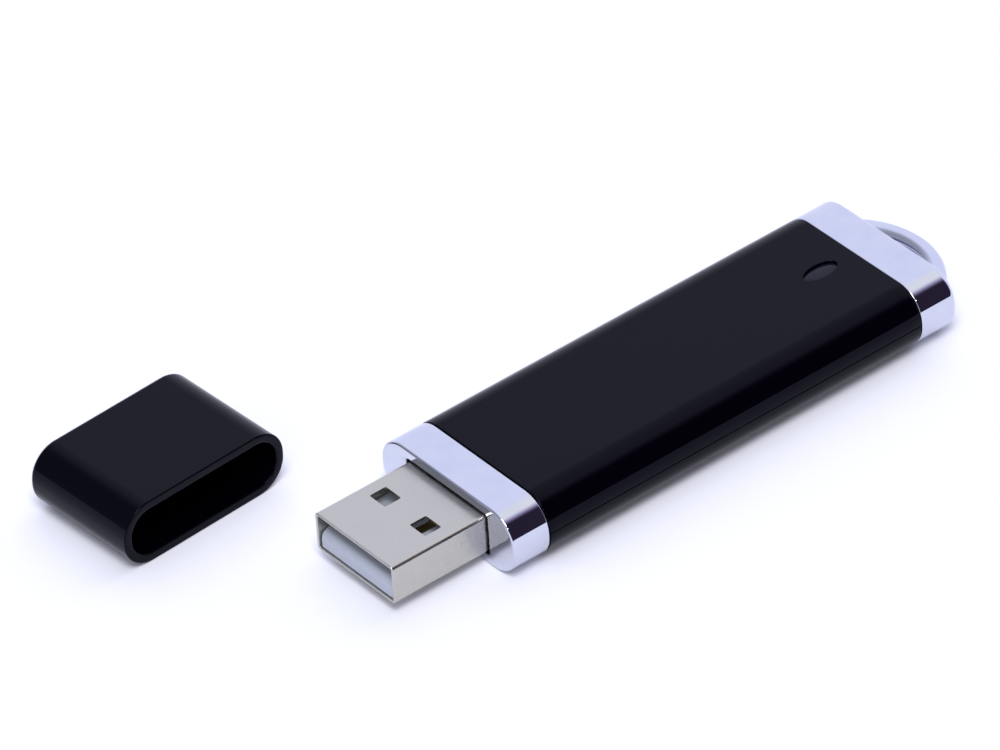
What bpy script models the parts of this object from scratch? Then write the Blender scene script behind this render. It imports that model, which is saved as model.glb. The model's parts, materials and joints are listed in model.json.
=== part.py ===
"""A capped USB flash drive, lying flat, with its cap taken off and laid beside it.

X runs along the drive, from the plug at -X to the keyring loop at +X. Z is up, and the underside
is at z = 0. The origin is the centre of the housing's underside. Lengths are in metres.
"""

import math

import bmesh
import bpy
from mathutils import Matrix, Vector

MM = 0.001

# Housing: one rounded section from the collar's front to the tail's end.
HOUSING_WIDTH = 20.5 * MM
HOUSING_HEIGHT = 7.2 * MM
SIDE_RADIUS = 3.4 * MM
HOUSING_LENGTH = 57.3 * MM
COLLAR_LENGTH = 4.4 * MM
TAIL_LENGTH = 4.7 * MM
WALL = 1.05 * MM
COLLAR_WALL = 1.1 * MM
SEAM = 0.12 * MM
EDGE_CHAMFER = 0.12 * MM
FIT_GAP = 0.08 * MM
PARTING_Z = 3.7 * MM
MID_Z = HOUSING_HEIGHT / 2

FRONT_X = -HOUSING_LENGTH / 2
BACK_X = HOUSING_LENGTH / 2
COLLAR_SEAM_X = FRONT_X + COLLAR_LENGTH
TAIL_SEAM_X = BACK_X - TAIL_LENGTH

# Plug: the standard Type-A shell.
PLUG_WIDTH = 12.0 * MM
PLUG_HEIGHT = 4.5 * MM
PLUG_WALL = 0.3 * MM
PLUG_RADIUS = 0.45 * MM
PLUG_REACH = 11.6 * MM
PLUG_DEPTH = 18.5 * MM
MOUTH_CLEARANCE = 0.5 * MM
PLUG_TIP_X = FRONT_X - PLUG_REACH
PLUG_BACK_X = PLUG_TIP_X + PLUG_DEPTH
WINDOW_LENGTH = 2.05 * MM
WINDOW_WIDTH = 2.4 * MM
WINDOW_FROM_TIP = 5.45 * MM
WINDOW_SPREAD = 3.1 * MM

# Cap, laid on its side of the drive with its mouth towards -Y.
CAP_WIDTH = 20.5 * MM
CAP_HEIGHT = 7.2 * MM
CAP_LENGTH = 14.4 * MM
CAP_WALL = 0.95 * MM
CAP_END_WALL = 1.2 * MM
CAP_CENTRE = Vector((-45.55 * MM, 24.53 * MM, 0))
CAP_YAW = math.radians(3.0)

# Circuit board.
BOARD_TOP_Z = 3.4 * MM
BOARD_THICKNESS = 0.8 * MM
BOARD_WIDTH = 15.6 * MM
BOARD_FRONT_X = -22.2 * MM
BOARD_BACK_X = 22.4 * MM
BOARD_BOTTOM_Z = BOARD_TOP_Z - BOARD_THICKNESS
SOLDER_GAP = 0.05 * MM

# Indicator window over the light at the tail end.
LENS_LENGTH = 4.2 * MM
LENS_WIDTH = 2.0 * MM
LENS_X = TAIL_SEAM_X - 4.4 * MM
LENS_RECESS = 0.2 * MM

# How the shells, the end pieces and the board locate each other.
SPIGOT_REACH = 2.6 * MM
SPIGOT_ROOT = 1.2 * MM
SPIGOT_WALL = 0.75 * MM
LIP_INSET = 0.55 * MM
LIP_WALL = 0.6 * MM
LIP_HEIGHT = 0.75 * MM
LIP_DEPTH = 1.0 * MM
LIP_ENDS = (COLLAR_SEAM_X + 1.6 * MM, TAIL_SEAM_X - 1.6 * MM)
POST_PLACES = (-16.2 * MM, 21.0 * MM)
POST_SPREAD = 6.9 * MM
POST_WIDTH = 1.3 * MM
RAIL_ENDS = (-16.5 * MM, 21.8 * MM)
RAIL_SIDES = (7.1 * MM, 8.6 * MM)
RAIL_FOOT_Z = 0.7 * MM
TAIL_ROUNDING = 0.7 * MM
TAIL_END_WALL = 1.35 * MM
PLUG_TAB = 3.0 * MM
PLUG_TAB_HEIGHTS = (2.0 * MM, 4.6 * MM)
LENS_FLANGE = 1.2 * MM
LENS_FLANGE_THICKNESS = 0.5 * MM
LENS_FOOT = (2.0 * MM, 1.4 * MM)
LENS_FOOT_DEPTH = 1.2 * MM

ARC_STEPS = 7


# ---------------------------------------------------------------- materials


def material(name, colour, roughness, metallic=0.0):
    made = bpy.data.materials.new(name)
    made.use_nodes = True
    shader = made.node_tree.nodes["Principled BSDF"]
    shader.inputs["Base Color"].default_value = (*colour, 1.0)
    shader.inputs["Roughness"].default_value = roughness
    shader.inputs["Metallic"].default_value = metallic
    made.diffuse_color = (*colour, 1.0)
    return made


# ---------------------------------------------------------------- mesh helpers


def object_from(name, bm, finish=None, smooth=True):
    """Turns a bmesh into an object in the scene, faces pointing out."""
    bmesh.ops.recalc_face_normals(bm, faces=bm.faces[:])
    mesh = bpy.data.meshes.new(name)
    bm.to_mesh(mesh)
    bm.free()
    if finish:
        mesh.materials.append(finish)
    if smooth:
        mesh.shade_smooth()
        mesh.set_sharp_from_angle(angle=math.radians(35))
    made = bpy.data.objects.new(name, mesh)
    bpy.context.scene.collection.objects.link(made)
    return made


def rounded_section(width, height, radius, steps=ARC_STEPS):
    """(across, up) points of a rounded rectangle about its own centre, anticlockwise."""
    points = []
    for corner in range(4):
        side = 1 if corner in (0, 3) else -1
        top = 1 if corner in (0, 1) else -1
        centre = (side * (width / 2 - radius), top * (height / 2 - radius))
        for step in range(steps + 1):
            angle = math.radians(90) * (corner + step / steps)
            points.append((centre[0] + radius * math.cos(angle), centre[1] + radius * math.sin(angle)))
    return points


def loft(rings):
    """A closed bmesh through rings of equal length, each a list of 3-D points."""
    bm = bmesh.new()
    rows = [[bm.verts.new(point) for point in ring] for ring in rings]
    count = len(rows[0])
    for lower, upper in zip(rows, rows[1:]):
        for i in range(count):
            j = (i + 1) % count
            bm.faces.new((lower[i], lower[j], upper[j], upper[i]))
    bm.faces.new(rows[0][::-1])
    bm.faces.new(rows[-1])
    return bm


def sleeve(name, stations, width, height, radius, centre_z, finish=None, steps=ARC_STEPS):
    """A rounded bar along X. A station is (x, inset), and the inset shrinks the section all round."""
    rings = []
    for x, inset in stations:
        corner = max(radius - inset, 0.1 * MM)
        section = rounded_section(width - 2 * inset, height - 2 * inset, corner, steps)
        rings.append([(x, across, centre_z + up) for across, up in section])
    return object_from(name, loft(rings), finish)


def housing_sleeve(name, stations, finish=None):
    return sleeve(name, stations, HOUSING_WIDTH, HOUSING_HEIGHT, SIDE_RADIUS, MID_Z, finish)


def block(name, low, high, finish=None):
    """A box between two corners."""
    bm = bmesh.new()
    bmesh.ops.create_cube(bm, size=1.0)
    low, high = Vector(low), Vector(high)
    for vert in bm.verts:
        vert.co = Vector((low[i] + (vert.co[i] + 0.5) * (high[i] - low[i]) for i in range(3)))
    return object_from(name, bm, finish, smooth=False)


def extruded(name, outline, z_low, z_high, finish=None):
    """An outline of (x, y) points raised from z_low to z_high."""
    rings = [[(x, y, z) for x, y in outline] for z in (z_low, z_high)]
    return object_from(name, loft(rings), finish)


def ellipse(centre_x, length, width, count=28):
    turns = [2 * math.pi * i / count for i in range(count)]
    return [(centre_x + length / 2 * math.cos(turn), width / 2 * math.sin(turn)) for turn in turns]


def boolean(target, tool, operation):
    """Cuts with, joins or keeps a tool, which stays in the scene as a hidden helper."""
    step = target.modifiers.new(tool.name, "BOOLEAN")
    step.operation = operation
    step.solver = "EXACT"
    step.object = tool
    tool.hide_render = True
    tool.display_type = "WIRE"
    tool.parent = target


def cut(target, *tools):
    for tool in tools:
        boolean(target, tool, "DIFFERENCE")


def join(target, *tools):
    for tool in tools:
        boolean(target, tool, "UNION")


# ---------------------------------------------------------------- housing


def shell_blank(name, finish):
    """The black middle with a spigot at each end, hollow from end to end."""
    low, high = COLLAR_SEAM_X + SEAM, TAIL_SEAM_X - SEAM
    stations = [(low, EDGE_CHAMFER), (low + EDGE_CHAMFER, 0), (high - EDGE_CHAMFER, 0), (high, EDGE_CHAMFER)]
    blank = housing_sleeve(name, stations, finish)
    spigot_inset = COLLAR_WALL + FIT_GAP
    spigot_ends = (low - SPIGOT_REACH, high + SPIGOT_REACH)
    spigot = housing_sleeve(name + "_spigot", [(x, spigot_inset) for x in spigot_ends])
    join(blank, spigot)
    main_hollow = housing_sleeve(name + "_hollow", [(low + SPIGOT_ROOT, WALL), (high - SPIGOT_ROOT, WALL)])
    end_inset = spigot_inset + SPIGOT_WALL
    end_hollow = housing_sleeve(name + "_ends", [(low - 5 * MM, end_inset), (high + 5 * MM, end_inset)])
    cut(blank, main_hollow, end_hollow)
    return blank


def plug_pocket(name):
    """The room the plug takes inside the housing."""
    reach = PLUG_WIDTH / 2 + 0.2 * MM
    rise = PLUG_HEIGHT / 2 + 0.15 * MM
    return block(
        name,
        (FRONT_X - 1 * MM, -reach, MID_Z - rise),
        (PLUG_BACK_X + 0.3 * MM, reach, MID_Z + rise),
    )


def beyond(name, z_low, z_high):
    """A box wider and longer than the housing between two heights."""
    return block(name, (-40 * MM, -15 * MM, z_low), (40 * MM, 15 * MM, z_high))


def top_shell(finish):
    shell = shell_blank("top_shell", finish)
    rebate = housing_sleeve("top_rebate", [(x, LIP_INSET - FIT_GAP) for x in LIP_ENDS])
    cut(rebate, beyond("top_rebate_roof", PARTING_Z + LIP_HEIGHT + FIT_GAP, 15 * MM))
    cut(shell, beyond("top_floor", -5 * MM, PARTING_Z + FIT_GAP / 2), plug_pocket("top_plug_pocket"))
    cut(shell, rebate)
    window = ellipse(LENS_X, LENS_LENGTH, LENS_WIDTH)
    cut(shell, extruded("lens_hole", window, 5 * MM, 8 * MM))
    ceiling = HOUSING_HEIGHT - WALL + 0.3 * MM
    for x in POST_PLACES:
        for side in (-1, 1):
            post = ellipse(x, POST_WIDTH, POST_WIDTH, 10)
            post = [(px, py + side * POST_SPREAD) for px, py in post]
            join(shell, extruded(f"post_{x:.4f}_{side}", post, BOARD_TOP_Z + FIT_GAP, ceiling))
    return shell


def bottom_shell(finish):
    shell = shell_blank("bottom_shell", finish)
    cut(shell, beyond("bottom_roof", PARTING_Z - FIT_GAP / 2, 15 * MM), plug_pocket("bottom_plug_pocket"))
    ends = (LIP_ENDS[0] + FIT_GAP, LIP_ENDS[1] - FIT_GAP)
    lip = housing_sleeve("bottom_lip", [(x, LIP_INSET) for x in ends])
    core = housing_sleeve("lip_core", [(x, LIP_INSET + LIP_WALL) for x in (-40 * MM, 40 * MM)])
    cut(lip, core, beyond("lip_under", -5 * MM, PARTING_Z - LIP_DEPTH))
    cut(lip, beyond("lip_over", PARTING_Z + LIP_HEIGHT, 15 * MM))
    join(shell, lip)
    for side in (-1, 1):
        edges = sorted(side * edge for edge in RAIL_SIDES)
        rail = block(
            f"rail_{side}",
            (RAIL_ENDS[0], edges[0], RAIL_FOOT_Z),
            (RAIL_ENDS[1], edges[1], BOARD_BOTTOM_Z - SOLDER_GAP),
        )
        join(shell, rail)
    return shell


def front_collar(finish):
    edge = 0.2 * MM
    stations = [
        (FRONT_X, edge),
        (FRONT_X + 0.06 * MM, 0.4 * edge),
        (FRONT_X + edge, 0),
        (COLLAR_SEAM_X - EDGE_CHAMFER, 0),
        (COLLAR_SEAM_X, EDGE_CHAMFER),
    ]
    collar = housing_sleeve("front_collar", stations, finish)
    bay = housing_sleeve(
        "collar_bay", [(FRONT_X + COLLAR_WALL, COLLAR_WALL), (COLLAR_SEAM_X + 1 * MM, COLLAR_WALL)]
    )
    mouth = sleeve(
        "collar_mouth",
        [(FRONT_X - 1 * MM, 0), (FRONT_X + 2 * MM, 0)],
        PLUG_WIDTH + MOUTH_CLEARANCE,
        PLUG_HEIGHT + MOUTH_CLEARANCE,
        PLUG_RADIUS,
        MID_Z,
        steps=3,
    )
    cut(collar, bay, mouth)
    return collar


LOOP_RADIUS = 10.0 * MM
LOOP_REACH = 4.3 * MM
LOOP_BAR = 1.7 * MM
LOOP_THICKNESS = 2.0 * MM


def keyring_arch():
    """A flat arched bar, its ends buried in the tail's end wall."""
    centre_x = BACK_X + LOOP_REACH - LOOP_RADIUS
    start_x = BACK_X - 0.7 * MM
    rings = []
    chamfer = 0.3 * MM
    profile = [
        (0, chamfer),
        (chamfer, 0),
        (LOOP_BAR - chamfer, 0),
        (LOOP_BAR, chamfer),
        (LOOP_BAR, LOOP_THICKNESS - chamfer),
        (LOOP_BAR - chamfer, LOOP_THICKNESS),
        (chamfer, LOOP_THICKNESS),
        (0, LOOP_THICKNESS - chamfer),
    ]
    steps = 18
    limit = math.acos((start_x - centre_x) / LOOP_RADIUS)
    for step in range(steps + 1):
        angle = -limit + 2 * limit * step / steps
        ring = []
        for inward, up in profile:
            reach = LOOP_RADIUS - inward
            z = MID_Z - LOOP_THICKNESS / 2 + up
            ring.append((centre_x + reach * math.cos(angle), reach * math.sin(angle), z))
        rings.append(ring)
    return object_from("keyring_arch", loft(rings))


def tail_cap(finish):
    stations = [(TAIL_SEAM_X, EDGE_CHAMFER), (TAIL_SEAM_X + EDGE_CHAMFER, 0)]
    for step in range(4):
        turn = math.radians(90) * step / 3
        x = BACK_X - TAIL_ROUNDING * (1 - math.sin(turn))
        stations.append((x, TAIL_ROUNDING * (1 - math.cos(turn))))
    tail = housing_sleeve("tail_cap", stations, finish)
    bay_ends = (TAIL_SEAM_X - 1 * MM, BACK_X - TAIL_END_WALL)
    bay = housing_sleeve("tail_bay", [(x, COLLAR_WALL) for x in bay_ends])
    cut(tail, bay)
    join(tail, keyring_arch())
    return tail


def indicator_lens(finish):
    """An oval light pipe with a flange that hooks under the top shell."""
    surface = HOUSING_HEIGHT - LENS_RECESS
    under = HOUSING_HEIGHT - WALL - FIT_GAP
    flange_foot = under - LENS_FLANGE_THICKNESS
    length, width = LENS_LENGTH - 2 * FIT_GAP, LENS_WIDTH - 2 * FIT_GAP
    edge = 0.1 * MM
    bodies = [
        (surface, length - 2 * edge, width - 2 * edge),
        (surface - edge, length, width),
        (under, length, width),
        (under, LENS_LENGTH + LENS_FLANGE, LENS_WIDTH + LENS_FLANGE),
        (flange_foot, LENS_LENGTH + LENS_FLANGE, LENS_WIDTH + LENS_FLANGE),
        (flange_foot, *LENS_FOOT),
        (under - LENS_FOOT_DEPTH, *LENS_FOOT),
    ]
    rings = [[(x, y, z) for x, y in ellipse(LENS_X, length, width)] for z, length, width in bodies]
    return object_from("indicator_lens", loft(rings), finish)


# ---------------------------------------------------------------- plug


def plug_shell(finish):
    shell = sleeve(
        "plug_shell",
        [(PLUG_TIP_X, 0), (PLUG_BACK_X, 0)],
        PLUG_WIDTH,
        PLUG_HEIGHT,
        PLUG_RADIUS,
        MID_Z,
        finish,
        steps=4,
    )
    bore = sleeve(
        "plug_bore",
        [(PLUG_TIP_X - 1 * MM, PLUG_WALL), (PLUG_BACK_X + 1 * MM, PLUG_WALL)],
        PLUG_WIDTH,
        PLUG_HEIGHT,
        PLUG_RADIUS,
        MID_Z,
        steps=4,
    )
    cut(shell, bore)
    for side in (-1, 1):
        window = block(
            f"plug_window_{side}",
            (PLUG_TIP_X + WINDOW_FROM_TIP, side * WINDOW_SPREAD - WINDOW_WIDTH / 2, -2 * MM),
            (PLUG_TIP_X + WINDOW_FROM_TIP + WINDOW_LENGTH, side * WINDOW_SPREAD + WINDOW_WIDTH / 2, 10 * MM),
        )
        cut(shell, window)
        inner, outer = PLUG_WIDTH / 2 - PLUG_WALL, PLUG_WIDTH / 2
        edges = sorted((side * inner, side * outer))
        tab = block(
            f"plug_tab_{side}",
            (PLUG_BACK_X - 0.5 * MM, edges[0], PLUG_TAB_HEIGHTS[0]),
            (PLUG_BACK_X + PLUG_TAB, edges[1], PLUG_TAB_HEIGHTS[1]),
        )
        join(shell, tab)
    return shell


CONTACTS = {"vbus": -3.5 * MM, "data_minus": -1.0 * MM, "data_plus": 1.0 * MM, "ground": 3.5 * MM}
CONTACT_WIDTH = 1.0 * MM
CONTACT_THICKNESS = 0.2 * MM
CONTACT_Z = MID_Z - 0.15 * MM
CONTACT_BACK_X = BOARD_FRONT_X + 2.6 * MM
TONGUE_BACK_X = PLUG_BACK_X - 0.4 * MM


def contact_front(name):
    """The power contacts reach closer to the mouth than the data contacts."""
    return PLUG_TIP_X + (3.2 * MM if name.startswith("data") else 2.2 * MM)


def plug_insulator(finish):
    """The white tongue in the lower half of the mouth and the block that fills the shell behind it."""
    inner_half = PLUG_WIDTH / 2 - PLUG_WALL - 0.06 * MM
    floor = MID_Z - PLUG_HEIGHT / 2 + PLUG_WALL + 0.06 * MM
    roof = MID_Z + PLUG_HEIGHT / 2 - PLUG_WALL - 0.06 * MM
    tongue = block(
        "plug_insulator",
        (PLUG_TIP_X + 0.15 * MM, -inner_half, floor),
        (TONGUE_BACK_X, inner_half, MID_Z),
        finish,
    )
    rear = block(
        "insulator_rear",
        (PLUG_TIP_X + PLUG_REACH - 0.4 * MM, -inner_half, floor + 0.3 * MM),
        (TONGUE_BACK_X - 0.1 * MM, inner_half, roof),
    )
    join(tongue, rear)
    for name, y in CONTACTS.items():
        half = CONTACT_WIDTH / 2 + 0.06 * MM
        groove = block(
            "groove_" + name,
            (contact_front(name) - 0.06 * MM, y - half, CONTACT_Z - 0.06 * MM),
            (CONTACT_BACK_X, y + half, CONTACT_Z + CONTACT_THICKNESS + 0.06 * MM),
        )
        cut(tongue, groove)
    return tongue


def contact(name, finish):
    y = CONTACTS[name]
    strip = block(
        "contact_" + name,
        (contact_front(name), y - CONTACT_WIDTH / 2, CONTACT_Z),
        (CONTACT_BACK_X, y + CONTACT_WIDTH / 2, CONTACT_Z + CONTACT_THICKNESS),
        finish,
    )
    return strip


# ---------------------------------------------------------------- circuit board


def circuit_board(finish):
    """A plain rectangle whose front corners are notched for the plug's tabs."""
    half = BOARD_WIDTH / 2
    neck_half = PLUG_WIDTH / 2 - PLUG_WALL - 0.3 * MM
    neck_x = PLUG_BACK_X + 3.4 * MM
    outline = [
        (BOARD_FRONT_X + 1.2 * MM, -neck_half),
        (neck_x, -neck_half),
        (neck_x, -half),
        (BOARD_BACK_X, -half),
        (BOARD_BACK_X, half),
        (neck_x, half),
        (neck_x, neck_half),
        (BOARD_FRONT_X + 1.2 * MM, neck_half),
    ]
    return extruded("circuit_board", outline, BOARD_BOTTOM_Z, BOARD_TOP_Z, finish)


def on_board(name, x, y, size, finish, underside=False, chamfer=0.1 * MM):
    """A moulded package soldered flat on the board, its outer edge chamfered."""
    length, width, height = size
    rings = []
    for rise, inset in ((0, 0), (height - chamfer, 0), (height, chamfer)):
        z = BOARD_BOTTOM_Z - SOLDER_GAP - rise if underside else BOARD_TOP_Z + SOLDER_GAP + rise
        half_l, half_w = length / 2 - inset, width / 2 - inset
        corners = ((-half_l, -half_w), (half_l, -half_w), (half_l, half_w), (-half_l, half_w))
        rings.append([(x + dx, y + dy, z) for dx, dy in corners])
    return object_from(name, loft(rings), finish, smooth=False)


def terminal_part(name, x, y, finish, underside=False, turned=False, size=(1.6, 0.8, 0.45)):
    """A chip resistor or capacitor, with a slightly fatter metal cap at each end."""
    length, width, height = (value * MM for value in size)
    end = 0.32 * MM
    waist = 0.04 * MM
    base = BOARD_BOTTOM_Z - SOLDER_GAP - height / 2 if underside else BOARD_TOP_Z + SOLDER_GAP + height / 2
    stations = (
        (-length / 2, 0),
        (-length / 2 + end, 0),
        (-length / 2 + end, waist),
        (length / 2 - end, waist),
        (length / 2 - end, 0),
        (length / 2, 0),
    )
    rings = []
    for along, inset in stations:
        half_w, half_h = width / 2 - inset, height / 2 - inset
        corners = ((-half_w, -half_h), (half_w, -half_h), (half_w, half_h), (-half_w, half_h))
        if turned:
            rings.append([(x - across, y + along, base + up) for across, up in corners])
        else:
            rings.append([(x + along, y + across, base + up) for across, up in corners])
    return object_from(name, loft(rings), finish, smooth=False)


def memory_chip(finish):
    """A thin flat package with a row of gull-wing leads at each end."""
    x, length, width = -4.6 * MM, 18.4 * MM, 12.0 * MM
    stand_off = 0.1 * MM
    base = BOARD_TOP_Z + SOLDER_GAP
    low, high = base + stand_off, base + stand_off + 1.0 * MM
    chip = block("memory_chip", (x - length / 2, -width / 2, low), (x + length / 2, width / 2, high), finish)
    pitch, lead_width, lead_count = 1.0 * MM, 0.4 * MM, 12
    knee, foot = 0.35 * MM, 0.8 * MM
    thick = 0.13 * MM
    top = base + 0.62 * MM
    for end in (-1, 1):
        bm = bmesh.new()
        for i in range(lead_count):
            y = (i - (lead_count - 1) / 2) * pitch
            root = length / 2 - 0.3 * MM
            outline = (
                (root, top - thick),
                (length / 2 + knee - thick, top - thick),
                (length / 2 + knee - thick, base),
                (length / 2 + foot, base),
                (length / 2 + foot, base + thick),
                (length / 2 + knee, base + thick),
                (length / 2 + knee, top),
                (root, top),
            )
            sides = []
            for across in (y - lead_width / 2, y + lead_width / 2):
                sides.append([bm.verts.new((x + end * along, across, z)) for along, z in outline])
            near, far = sides
            bm.faces.new(near)
            bm.faces.new(far[::-1])
            for a in range(len(outline)):
                b = (a + 1) % len(outline)
                bm.faces.new((near[a], far[a], far[b], near[b]))
        join(chip, object_from(f"memory_leads_{end}", bm, smooth=False))
    return chip


def board_spacer(finish):
    """A small loose-fitting block between the board and the floor."""
    return block(
        "board_spacer",
        (2.0 * MM, -2.5 * MM, WALL + FIT_GAP),
        (5.0 * MM, 2.5 * MM, BOARD_BOTTOM_Z - FIT_GAP),
        finish,
    )


# ---------------------------------------------------------------- cap


def cap_sleeve(name, stations, finish=None):
    return sleeve(name, stations, CAP_WIDTH, CAP_HEIGHT, SIDE_RADIUS, CAP_HEIGHT / 2, finish)


def cap_shell(finish):
    """Built along X with its mouth at +X, as it sits on the plug, then placed by its parent."""
    end_x, mouth_x = -CAP_LENGTH / 2, CAP_LENGTH / 2
    rounding = 0.55 * MM
    stations = []
    for step in range(4):
        turn = math.radians(90) * step / 3
        stations.append((end_x + rounding * (1 - math.cos(turn)), rounding * (1 - math.sin(turn))))
    stations += [(mouth_x - EDGE_CHAMFER, 0), (mouth_x, EDGE_CHAMFER)]
    cap = cap_sleeve("cap_shell", stations, finish)
    cut(cap, cap_sleeve("cap_hollow", [(end_x + CAP_END_WALL, CAP_WALL), (mouth_x + 1 * MM, CAP_WALL)]))
    rib_start, rib_end = end_x + 0.8 * MM, mouth_x - 3.0 * MM
    grip = PLUG_HEIGHT / 2 + FIT_GAP
    for side in (-1, 1):
        guide = sorted((side * (PLUG_WIDTH / 2 + 0.15 * MM), side * (PLUG_WIDTH / 2 + 0.95 * MM)))
        join(
            cap,
            block(
                f"side_guide_{side}",
                (rib_start, guide[0], CAP_WALL / 2),
                (rib_end, guide[1], CAP_HEIGHT - CAP_WALL / 2),
            ),
        )
        for face in (-1, 1):
            wall = CAP_HEIGHT / 2 + face * (CAP_HEIGHT - CAP_WALL) / 2
            heights = sorted((MID_Z + face * grip, wall))
            rib = block(
                f"grip_rib_{side}_{face}",
                (rib_start, side * 3.1 * MM - 0.5 * MM, heights[0]),
                (rib_end, side * 3.1 * MM + 0.5 * MM, heights[1]),
            )
            join(cap, rib)
    return cap


CAP_TURN = math.radians(90) - CAP_YAW
CAP_LINED_UP_X = -50.35 * MM


def cap_pivot():
    """The point about which one turn brings the laid-down cap into line with the plug."""
    lined_up = Vector((CAP_LINED_UP_X, 0, 0))
    step = lined_up - CAP_CENTRE
    sideways = Vector((-step.y, step.x, 0))
    return (CAP_CENTRE + lined_up) / 2 + sideways / (2 * math.tan(CAP_TURN / 2))


def place_cap(cap):
    axis = bpy.data.objects.new("cap_turn_axis", None)
    bpy.context.scene.collection.objects.link(axis)
    axis.location = cap_pivot()
    cap.parent = axis
    turned = Matrix.Rotation(-CAP_TURN, 4, "Z")
    cap.matrix_local = Matrix.Translation(CAP_CENTRE - axis.location) @ turned


# ---------------------------------------------------------------- the whole drive


def build():
    for old in list(bpy.data.objects):
        bpy.data.objects.remove(old)
    black = material("gloss_black", (0.008, 0.008, 0.012), 0.12)
    chrome = material("chrome", (0.85, 0.85, 0.9), 0.06, 1.0)
    nickel = material("nickel", (0.62, 0.59, 0.56), 0.28, 1.0)
    white = material("white_plastic", (0.82, 0.86, 0.88), 0.45)
    gold = material("gold", (0.85, 0.6, 0.25), 0.25, 1.0)
    board = material("board_green", (0.02, 0.12, 0.06), 0.5)
    resin = material("chip_black", (0.02, 0.02, 0.022), 0.6)
    tin = material("tin", (0.6, 0.6, 0.6), 0.35, 1.0)
    ceramic = material("capacitor_tan", (0.45, 0.3, 0.17), 0.5)
    smoky = material("smoky_lens", (0.1, 0.11, 0.13), 0.1)
    glow = material("light_yellow", (0.8, 0.75, 0.5), 0.3)
    spacer = material("spacer_grey", (0.25, 0.25, 0.26), 0.6)

    top_shell(black)
    bottom_shell(black)
    front_collar(chrome)
    tail_cap(chrome)
    indicator_lens(smoky)
    plug_shell(nickel)
    plug_insulator(white)
    for name in CONTACTS:
        contact(name, gold)
    circuit_board(board)
    memory_chip(resin)
    on_board("controller_chip", -12 * MM, 0, (7 * MM, 7 * MM, 0.85 * MM), resin, underside=True)
    on_board("crystal", -5.2 * MM, -3.2 * MM, (5 * MM, 3.2 * MM, 0.9 * MM), tin, underside=True)
    on_board("regulator", 9.0 * MM, 4.4 * MM, (2.9 * MM, 1.5 * MM, 1.0 * MM), resin)
    on_board("status_light", LENS_X, 0, (1.6 * MM, 0.8 * MM, 0.6 * MM), glow)
    terminal_part("ferrite_bead", -17.0 * MM, 2.6 * MM, resin, size=(2.0, 1.2, 0.8))
    capacitor_places = (
        (-17.0, -1.4, False),
        (9.0, 1.6, False),
        (9.0, -1.4, False),
        (-6.4, 1.4, True),
        (-6.4, 4.2, True),
        (-3.2, 3.6, True),
    )
    for number, (x, y, under) in enumerate(capacitor_places, 1):
        terminal_part(f"capacitor_{number}", x * MM, y * MM, ceramic, underside=under, turned=under)
    resistor_places = (
        (15.8, 0.0, False),
        (13.0, 3.4, False),
        (13.0, -3.4, False),
        (-0.6, 1.6, True),
        (-0.6, -1.8, True),
    )
    for number, (x, y, under) in enumerate(resistor_places, 1):
        terminal_part(f"resistor_{number}", x * MM, y * MM, resin, underside=under, turned=not under)
    board_spacer(spacer)
    place_cap(cap_shell(black))


build()
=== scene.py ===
import json
import math

import bmesh
import bpy
from mathutils import Matrix, Vector


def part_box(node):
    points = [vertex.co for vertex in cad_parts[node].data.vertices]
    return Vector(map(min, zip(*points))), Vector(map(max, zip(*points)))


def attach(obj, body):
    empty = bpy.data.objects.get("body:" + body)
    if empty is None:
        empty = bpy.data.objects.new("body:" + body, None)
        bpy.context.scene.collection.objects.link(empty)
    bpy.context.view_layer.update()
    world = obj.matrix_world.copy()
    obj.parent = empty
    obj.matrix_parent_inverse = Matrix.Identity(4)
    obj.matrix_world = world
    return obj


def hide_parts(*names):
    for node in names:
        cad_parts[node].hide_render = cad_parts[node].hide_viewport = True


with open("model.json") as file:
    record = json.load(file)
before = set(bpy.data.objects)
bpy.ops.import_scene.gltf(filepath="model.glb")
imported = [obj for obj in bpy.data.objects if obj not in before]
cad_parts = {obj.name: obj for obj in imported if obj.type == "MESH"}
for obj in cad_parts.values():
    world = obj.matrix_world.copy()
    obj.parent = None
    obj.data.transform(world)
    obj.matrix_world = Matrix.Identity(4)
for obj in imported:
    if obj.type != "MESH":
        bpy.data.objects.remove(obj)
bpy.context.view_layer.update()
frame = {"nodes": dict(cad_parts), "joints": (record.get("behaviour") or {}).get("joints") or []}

MM = 0.001

# ---------------------------------------------------------------- places from the frame

COLLAR_LOW, COLLAR_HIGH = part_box("front_collar")
TAIL_LOW, TAIL_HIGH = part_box("tail_cap")
PLUG_LOW, PLUG_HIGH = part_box("plug_shell")
TONGUE_LOW, TONGUE_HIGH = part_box("plug_insulator")
LENS_LOW, LENS_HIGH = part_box("indicator_lens")
CAP_LOW, CAP_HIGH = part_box("cap_shell")
BOARD_LOW, BOARD_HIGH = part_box("circuit_board")
BOARD_BOTTOM_Z, BOARD_TOP_Z = BOARD_LOW.z, BOARD_HIGH.z

FRONT_X, COLLAR_SEAM_X = COLLAR_LOW.x, COLLAR_HIGH.x
TAIL_SEAM_X, LOOP_X = TAIL_LOW.x, TAIL_HIGH.x
BACK_X = -FRONT_X  # the housing is centred on the origin
HOUSING_WIDTH = COLLAR_HIGH.y - COLLAR_LOW.y
HOUSING_HEIGHT = COLLAR_HIGH.z
MID_Z = HOUSING_HEIGHT / 2
LENS_X = (LENS_LOW.x + LENS_HIGH.x) / 2
CAP_CENTRE = (CAP_LOW + CAP_HIGH) / 2
CAP_HEIGHT = CAP_HIGH.z
CAP_JOINT = next(joint for joint in frame["joints"] if joint["name"] == "cap_turn")
CAP_TURN = math.radians(CAP_JOINT["range_deg"][1])  # a full turn lines the cap up with the plug

# ---------------------------------------------------------------- sizes the frame doesn't give

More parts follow.
